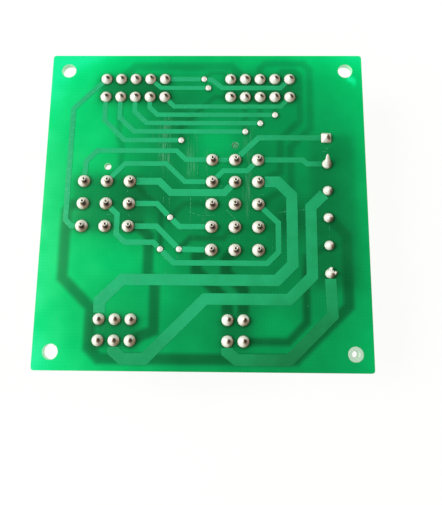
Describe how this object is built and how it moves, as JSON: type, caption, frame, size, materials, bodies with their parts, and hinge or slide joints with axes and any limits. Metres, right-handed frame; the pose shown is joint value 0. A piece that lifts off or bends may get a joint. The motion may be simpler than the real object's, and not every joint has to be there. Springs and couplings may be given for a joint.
{
  "type": "elevator control junction board",
  "caption": "Square green two-sided circuit board with soldered pin headers on its far side, broad copper tracks and corner mounting holes.",
  "frame": {"origin": "middle of the board in X and Y, on the plane under the two tallest headers", "axes": "+Z out of the soldered face, +X to the right and +Y to the upper edge as the picture shows that face"},
  "size_m": [0.0888, 0.0888, 0.022],
  "materials": {
    "lacquered_board": "green solder mask on glass epoxy, semi-gloss",
    "lacquered_copper": "copper under green solder mask, semi-gloss",
    "solder": "bright wave solder",
    "tinned_brass": "bright tin plate",
    "natural_nylon": "moulded, satin",
    "bush_nylon": "moulded, translucent"
  },
  "bodies": {
    "root": {"laminate": "lacquered_board", "solder_side_tracks": "lacquered_copper", "component_side_tracks": "lacquered_copper", "solder_joints": "solder", "via_caps": "solder", "corner_bush": "bush_nylon", "header_upper_left": "natural_nylon", "header_upper_right": "natural_nylon", "header_nine": "natural_nylon", "header_fifteen": "natural_nylon", "header_edge": "natural_nylon", "header_lower_left": "natural_nylon", "header_lower_right": "natural_nylon", "pins_upper_left": "tinned_brass", "pins_upper_right": "tinned_brass", "pins_nine": "tinned_brass", "pins_fifteen": "tinned_brass", "pins_edge": "tinned_brass", "pins_lower_left": "tinned_brass", "pins_lower_right": "tinned_brass"}
  },
  "joints": []
}
